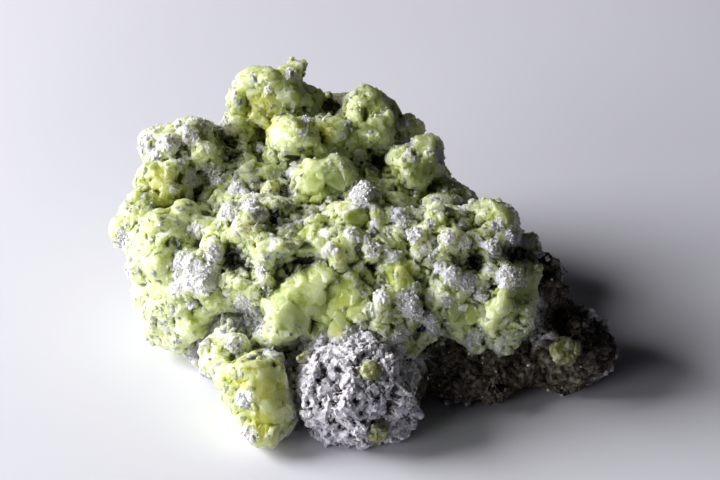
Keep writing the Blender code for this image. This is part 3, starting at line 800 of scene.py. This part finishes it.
def lone_crystal(node, seed):
    """A small sulfur crystal on the rock, with flat faces on its solid."""
    rng = np.random.default_rng(seed)
    mesh = remeshed(node, [solid_of(node)], CRYSTAL_VOXEL)
    edges = edges_of(mesh)
    set_points(mesh, relaxed(points_of(mesh), edges, 2))
    faceted(mesh, LONE_FACETS, rng)
    points = points_of(mesh)
    points += normals_of(mesh) * (CONTACT_FILL + 0.06 * MM * noise_at(points, 0.6 * MM))[:, None]
    set_points(mesh, settle_on_floor(relaxed(points, edges, 1)))
    set_mask(mesh, "crust", 0.25 + 0.5 * noise_at(points, 2 * MM, 3, seed))
    set_mask(mesh, "grey", 0.4 + 0.4 * noise_at(points, 1.5 * MM, 2, seed))
    for name, value in LONE_MASKS.items():
        set_mask(mesh, name, np.full(len(mesh.vertices), value))
    return new_object(node + "_faces", mesh)


# Small crystals and grains

def grain_radii(radii, count, rng):
    """Random radii around a middle one, in metres."""
    middle, width = radii
    return rng.lognormal(math.log(middle), width, count) * MM


def grain_piece(name, spots, outwards, radii, greys, seed):
    """Many small angular grains in one mesh, each sitting on its spot."""
    rng = np.random.default_rng(seed)
    form_points, form_faces = ball(1)
    forms = [(form_points * rng.uniform(0.72, 1.15, (len(form_points), 1)), form_faces) for _ in range(24)]
    points, faces = scattered(forms, spots, outwards, radii, GRAIN_LIFT, rng)
    mesh = soup_mesh(name, [(settle_on_floor(points), faces)])
    set_mask(mesh, "grey", np.repeat(greys, len(form_points)))
    return new_object(name, mesh)


def small_crystals(body, tree, crusts):
    """Small sharp sulfur crystals between and on the large ones, in one mesh."""
    rng = np.random.default_rng(SEEDS["small"])
    spots, outwards = random_spots(body.data, SMALL_CRYSTALS * 5, rng)
    smooth = np.clip(nearness(spots, tree, SMOOTH_SULFUR) * 3, 0, 1)
    cover, _, _ = crusts.at(spots)
    flocks = noise_at(spots, 3 * MM, 2, 15)
    chance = ease(flocks, -0.35, 0.25) * (1 - 0.97 * smooth) * (1 - 0.8 * ease(cover, 0.2, 0.7))
    kept = np.flatnonzero(rng.random(len(spots)) < chance)[:SMALL_CRYSTALS]
    radii = grain_radii(SMALL_RADII, len(kept), rng)
    points, faces = scattered(crystal_forms(rng), spots[kept], outwards[kept], radii, ROUND_LIFT, rng)
    mesh = soup_mesh("small_crystals", [(settle_on_floor(points), faces)])
    return new_object("small_crystals", mesh)


def crust_grains(body, crusts):
    """The grains of the crusts on the sulfur, in several pieces from left to right."""
    rng = np.random.default_rng(SEEDS["grains"])
    spots, outwards = random_spots(body.data, CRUST_GRAINS * 9, rng)
    cover, grey, _ = crusts.at(spots)
    rough = noise_at(spots, 1 * MM)
    kept = np.flatnonzero(rng.random(len(spots)) < ease(cover + 0.35 * rough, 0.3, 1.0))[:CRUST_GRAINS]
    made = []
    for number, part in enumerate(np.array_split(kept[np.argsort(spots[kept, 0])], CRUST_PIECES)):
        radii = grain_radii(CRUST_GRAIN_RADII, len(part), rng)
        tones = np.clip(grey[part] + rng.normal(0, 0.12, len(part)), 0, 1)
        name = f"crust_grains_{number + 1}"
        made.append(grain_piece(name, spots[part], outwards[part], radii, tones, SEEDS["grains"] + number))
    return made


def rock_grains(body, tree):
    """The grit on the pale part of the host rock."""
    rng = np.random.default_rng(SEEDS["grit"])
    spots, outwards = random_spots(body.data, ROCK_GRAINS * 2, rng)
    kept = np.flatnonzero(rng.random(len(spots)) > 0.95 * inside(spots, tree, DARK_ROCK_AND_SHADE, 0.3))[:ROCK_GRAINS]
    radii = grain_radii(ROCK_GRAIN_RADII, len(kept), rng)
    tones = np.clip(rng.normal(0.4, 0.25, len(kept)), 0, 1)
    return grain_piece("rock_grains", spots[kept], outwards[kept], radii, tones, SEEDS["grit"])


# Shader nodes

def fill(tree, node, inputs):
    """Links or sets some inputs of a node, by name or number."""
    for name, value in inputs.items():
        if isinstance(value, bpy.types.NodeSocket):
            tree.links.new(value, node.inputs[name])
        else:
            node.inputs[name].default_value = value


def add_node(tree, kind, inputs, **settings):
    """A shader node with its inputs and settings."""
    made = tree.nodes.new("ShaderNode" + kind)
    for name, value in settings.items():
        setattr(made, name, value)
    fill(tree, made, inputs)
    return made


def maths(tree, operation, first, second, clamp=False):
    """The result of one calculation on two values."""
    return add_node(tree, "Math", {0: first, 1: second}, operation=operation, use_clamp=clamp).outputs[0]


def spread(tree, value, low, high, to_low=0.0, to_high=1.0):
    """A value spread from one range to another with soft ends."""
    inputs = {"Value": value, "From Min": low, "From Max": high, "To Min": to_low, "To Max": to_high}
    return add_node(tree, "MapRange", inputs, interpolation_type="SMOOTHSTEP").outputs["Result"]


def srgb(colour):
    """A colour given as a picture shows it, from 0 to 255, as the shader wants it."""
    shares = [value / 255 for value in colour]
    return (*(s / 12.92 if s <= 0.04045 else ((s + 0.055) / 1.055) ** 2.4 for s in shares), 1)


def mixed(tree, share, *colours):
    """Two colours mixed by a share, each from a node or as a picture shows it."""
    made = add_node(tree, "Mix", {"Factor": share}, data_type="RGBA")
    for socket, colour in zip(("A_Color", "B_Color"), colours):
        number = next(n for n, s in enumerate(made.inputs) if s.identifier == socket)
        fill(tree, made, {number: srgb(colour) if isinstance(colour, tuple) else colour})
    return next(s for s in made.outputs if s.identifier == "Result_Color")


def blended(tree, value, low, high, *colours):
    """A colour that goes from the first to the second as a value goes from low to high."""
    return mixed(tree, spread(tree, value, low, high), *colours)


def place_on(tree):
    """The place on the object that is being shaded."""
    return add_node(tree, "TexCoord", {}).outputs["Object"]


def vector_maths(tree, operation, first, second, output="Vector"):
    """The result of one calculation on two vectors."""
    return add_node(tree, "VectorMath", {0: first, 1: second}, operation=operation).outputs[output]


def noise_value(tree, size, detail=3, roughness=0.55, offset=0.0):
    """A noise over the surface with features of a given size in metres."""
    shifted = vector_maths(tree, "ADD", place_on(tree), (offset, offset, offset))
    inputs = {"Vector": shifted, "Scale": 1 / size, "Detail": detail, "Roughness": roughness}
    return add_node(tree, "TexNoise", inputs).outputs["Fac"]


def cell_pattern(tree, place, size):
    """A pattern of cells, each with its own colour and position."""
    return add_node(tree, "TexVoronoi", {"Vector": place, "Scale": 1 / size}).outputs


def facet_height(tree, size):
    """The height of small flat faces, each tilted its own way."""
    place = place_on(tree)
    cells = cell_pattern(tree, place, size)
    away = vector_maths(tree, "SUBTRACT", place, cells["Position"])
    tilt = vector_maths(tree, "SUBTRACT", cells["Color"], (0.5, 0.5, 0.5))
    return maths(tree, "MULTIPLY", vector_maths(tree, "DOT_PRODUCT", away, tilt, "Value"), 1 / MM)


def mask_value(tree, name):
    """A mask that the mesh carries."""
    return add_node(tree, "Attribute", {}, attribute_name=name, attribute_type="GEOMETRY").outputs["Fac"]


def new_group(name, inputs, **outputs):
    """An empty node group with numbers as inputs, and with its outputs."""
    group = bpy.data.node_groups.new(name, "ShaderNodeTree")
    for label in inputs:
        group.interface.new_socket(label, in_out="INPUT", socket_type="NodeSocketFloat")
    for label, kind in outputs.items():
        group.interface.new_socket(label, in_out="OUTPUT", socket_type="NodeSocket" + kind)
    return group, group.nodes.new("NodeGroupInput").outputs, group.nodes.new("NodeGroupOutput")


def powder_group():
    """Mineral powder: broken-edged cover and a colour between white and grey lavender."""
    group, given, out = new_group("mineral_powder", ("Cover", "Grey", "Dusting"), Mask="Float", Color="Color")
    broken = noise_value(group, 0.8 * MM, 4, 0.65)
    specks = noise_value(group, 0.4 * MM, 2, 0.5, 0.3)
    cover = maths(group, "ADD", given["Cover"], maths(group, "MULTIPLY", broken, 1.4))
    edge = spread(group, cover, 1.0, 1.3)
    dust = maths(group, "ADD", specks, maths(group, "MULTIPLY", given["Dusting"], 0.1))
    dust = maths(group, "MULTIPLY", spread(group, dust, 0.57, 0.72), 0.45)
    uneven = spread(group, noise_value(group, 1.1 * MM), 0.5, 0.75, 0, 0.1)
    tone = maths(group, "ADD", given["Grey"], uneven, True)
    light = blended(group, broken, 0.35, 0.65, (247, 248, 238), (254, 254, 250))
    dark = blended(group, specks, 0.4, 0.6, (158, 152, 153), (220, 217, 222))
    fill(group, out, {"Mask": maths(group, "MAXIMUM", edge, dust), "Color": mixed(group, tone, light, dark)})
    return group


def relief_group():
    """Fine relief: the height in mm of tiny crystal faces and grit."""
    group, given, out = new_group("fine_relief", ("Faces", "Grit"), Height="Float")
    faces = maths(group, "ADD", facet_height(group, 1.3 * MM), facet_height(group, 0.6 * MM))
    faces = maths(group, "MULTIPLY", faces, given["Faces"])
    grit = maths(group, "MULTIPLY", noise_value(group, 0.25 * MM, 2, 0.6), 0.12)
    grit = maths(group, "MULTIPLY", grit, given["Grit"])
    fill(group, out, {"Height": maths(group, "ADD", faces, grit)})
    return group


def new_material(name):
    """A fresh material with its nodes and its shader."""
    material = bpy.data.materials.new(name)
    material.use_nodes = True
    return material, material.node_tree, material.node_tree.nodes["Principled BSDF"]


def use_group(tree, group, **inputs):
    """A node group placed in a material with its own values."""
    return add_node(tree, "Group", inputs, node_tree=group).outputs


def add_relief(tree, shader, relief, faces, grit):
    """Bends the shader's surface by shares of tiny faces and of grit."""
    height = use_group(tree, relief, Faces=faces, Grit=grit)["Height"]
    bump = add_node(tree, "Bump", {"Height": height, "Strength": 1, "Distance": MM})
    fill(tree, shader, {"Normal": bump.outputs["Normal"]})


def sulfur_material(powder, relief):
    """Resinous, slightly translucent sulfur with tints and mineral powder, with shade painted dark into its
    hollows and recesses.
    """
    material, tree, shader = new_material("resinous_sulfur")
    smooth = mask_value(tree, "smooth")
    patches = noise_value(tree, 4 * MM)
    small = noise_value(tree, 1.3 * MM, offset=0.7)
    mottle = spread(tree, smooth, 0, 1, 0.45, 0.1)
    clear = blended(tree, patches, 0.38, 0.62, (158, 172, 76), (188, 199, 114))
    cells = cell_pattern(tree, place_on(tree), 3 * MM)["Color"]
    clear = mixed(tree, spread(tree, cells, 0.45, 0.8, 0, mottle), clear, (212, 223, 168))
    clear = mixed(tree, spread(tree, small, 0.52, 0.72, 0, mottle), clear, (208, 219, 158))
    # Tints; the pale one is partly painted light on the side facing the window
    for name, (_, share, colour, _) in SULFUR_TINTS.items():
        clear = mixed(tree, maths(tree, "MULTIPLY", mask_value(tree, name), share), clear, colour)
    hollow_shade = mask_value(tree, "hollow_shade")
    # Paler on tips, and painted shade: darker olive in hollows
    clear = mixed(tree, spread(tree, hollow_shade, 0.45, 0.2, 0, 0.5), clear, (224, 231, 192))
    clear = mixed(tree, spread(tree, hollow_shade, 0.55, 0.9, 0, 0.85), clear, (90, 93, 44))
    # Dark rock colour for recesses, which also stands for painted shade there
    rock = blended(tree, small, 0.4, 0.6, (38, 33, 26), (90, 83, 74))
    recess = mask_value(tree, "recess")
    clear = mixed(tree, recess, clear, rock)
    dusted = use_group(
        tree, powder, Cover=mask_value(tree, "crust"), Grey=mask_value(tree, "grey"),
        Dusting=spread(tree, smooth, 0, 1, 0.3, -0.9),
    )
    # Less powder in hollows, so that the painted shade there shows
    cover = maths(tree, "MULTIPLY", dusted["Mask"], spread(tree, hollow_shade, 0.55, 0.85, 1, 0.35))
    dull = maths(tree, "MAXIMUM", cover, recess)
    gloss = spread(tree, small, 0.35, 0.65, 0.3, 0.5)
    gloss = maths(tree, "MAXIMUM", gloss, maths(tree, "MULTIPLY", dull, 0.85))
    fill(tree, shader, {
        "Base Color": mixed(tree, cover, clear, dusted["Color"]), "Roughness": gloss, "IOR": 1.6,
        "Subsurface Weight": 0.9, "Subsurface Radius": (1.0, 0.95, 0.4), "Subsurface Scale": 5 * MM,
    })
    faces = spread(tree, smooth, 0, 1, 0.6, 0.15)
    add_relief(tree, shader, relief, faces, spread(tree, dull, 0, 1, 0.1, 0.8))
    return material


def rock_material(powder, relief):
    """Crumbly lavender grey rock, with dark brownish grey shade painted into its cracks."""
    material, tree, shader = new_material("lavender_grey_rock")
    grains = noise_value(tree, 0.8 * MM, 4, 0.65)
    patches = noise_value(tree, 6 * MM, 2)
    stone = blended(tree, grains, 0.35, 0.65, (172, 167, 178), (234, 232, 241))
    stone = mixed(tree, spread(tree, patches, 0.55, 0.75, 0, 0.4), stone, (140, 128, 122))
    # Brownish dark rock, partly its own colour and partly painted shade on the side away from the window
    brown_and_shade = blended(tree, grains, 0.4, 0.65, (58, 52, 42), (120, 112, 100))
    stone = mixed(tree, mask_value(tree, "brown_and_shade"), stone, brown_and_shade)
    # Painted shade: darker in cracks and hollows
    stone = mixed(tree, spread(tree, mask_value(tree, "hollow_shade"), 0.58, 0.95, 0, 0.9), stone, (52, 46, 45))
    dusted = use_group(tree, powder, Cover=0.1, Grey=0.35, Dusting=0.25)
    share = maths(tree, "MULTIPLY", dusted["Mask"], spread(tree, mask_value(tree, "brown_and_shade"), 0, 1, 0.6, 0.1))
    colour = mixed(tree, share, stone, dusted["Color"])
    fill(tree, shader, {"Base Color": colour, "Roughness": 0.92, "Specular IOR Level": 0.25})
    add_relief(tree, shader, relief, 0.3, 1.2)
    return material


def grain_material(relief):
    """White to grey mineral grains."""
    material, tree, shader = new_material("mineral_grains")
    shade = spread(tree, noise_value(tree, 0.9 * MM), 0.35, 0.65)
    white = mixed(tree, shade, (240, 240, 234), (254, 254, 251))
    grey = mixed(tree, shade, (160, 155, 162), (222, 219, 228))
    colour = mixed(tree, mask_value(tree, "grey"), white, grey)
    fill(tree, shader, {
        "Base Color": colour, "Roughness": 0.8, "Specular IOR Level": 0.3,
        "Subsurface Weight": 0.8, "Subsurface Radius": (1.0, 1.0, 1.0), "Subsurface Scale": 0.8 * MM,
    })
    add_relief(tree, shader, relief, 0.1, 0.3)
    return material


# Setting

def make_floor():
    """The plain pale lavender grey table that the specimen lies on."""
    material, tree, shader = new_material("pale_table")
    tone = blended(tree, noise_value(tree, 0.2, 2), 0.35, 0.65, (221, 221, 233), (227, 227, 237))
    fill(tree, shader, {"Base Color": tone, "Roughness": 0.6, "Specular IOR Level": 0.2})
    mesh = bpy.data.meshes.new("table_top")
    plane = bmesh.new()
    bmesh.ops.create_grid(plane, x_segments=8, y_segments=8, size=3)
    plane.to_mesh(mesh)
    plane.free()
    mesh.materials.append(material)
    floor = new_object("table_top", mesh)


def aim(made, place, target):
    """Puts something at its place and turns it to a target."""
    made.location = place
    made.rotation_mode = "QUATERNION"
    made.rotation_quaternion = (target - place).to_track_quat("-Z", "Y")


def make_light():
    """Window light from the left and a little behind, with a weak fill from the room around."""
    around = bpy.data.worlds.new("room")
    bpy.context.scene.world = around
    around.use_nodes = True
    background = around.node_tree.nodes["Background"]
    fill(around.node_tree, background, {"Color": ROOM_COLOUR, "Strength": ROOM_STRENGTH})
    for name, place, size, power, colour in LIGHTS:
        lamp = bpy.data.lights.new(name, "AREA")
        lamp.shape = "DISK"
        lamp.size = size
        lamp.energy = power
        lamp.color = colour
        aim(new_object(name, lamp), Vector(place), Vector(LIGHT_TARGET))


def make_camera():
    """The camera at the photograph's place."""
    camera = new_object("camera", bpy.data.cameras.new("camera"))
    camera.data.lens = 100
    camera.data.sensor_width = 36
    camera.data.clip_start = 10 * MM
    aim(camera, EYE, SIGHT_CENTRE)
    bpy.context.scene.camera = camera


def show_edges(piece, degrees):
    """Shades a piece smooth, apart from creases sharper than some degrees."""
    piece.data.shade_smooth()
    piece.data.set_sharp_from_angle(angle=math.radians(degrees))


def finish_piece(piece, material, slot, *nodes):
    """Gives a piece its finish, ties it to the specimen, and hides the solids it stands for."""
    piece.data.materials.append(material)
    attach(piece, "root")
    if nodes:
        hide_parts(*nodes)


def main():
    """Builds the specimen's looks around its solids."""
    tree = surface_tree(NODES)
    crusts = Crusts(tree)
    powder = powder_group()
    relief = relief_group()
    sulfur = sulfur_material(powder, relief)
    stone = rock_material(powder, relief)
    grains = grain_material(relief)
    body = sulfur_body(tree, crusts)
    sulfur_masks(body, tree, crusts)
    show_edges(body, SULFUR_EDGES)
    finish_piece(body, sulfur, "sulfur", "sulfur_mass")
    crystals = small_crystals(body, tree, crusts)
    sulfur_masks(crystals, tree, crusts)
    finish_piece(crystals, sulfur, "sulfur")
    rock = rock_body(tree)
    rock_masks(rock, tree)
    show_edges(rock, ROCK_EDGES)
    finish_piece(rock, stone, "matrix_rock", "matrix_rock")
    for number, node in enumerate(sorted(name for name in NODES if name.startswith("crystal_"))):
        crystal = lone_crystal(node, SEEDS["lone"] + number)
        show_edges(crystal, LONE_EDGES)
        finish_piece(crystal, sulfur, "sulfur", node)
    for piece in [*crust_grains(body, crusts), rock_grains(rock, tree)]:
        finish_piece(piece, grains, "matrix_rock")
    make_floor()
    make_light()
    make_camera()
    bpy.context.scene.view_settings.view_transform = "Standard"


main()
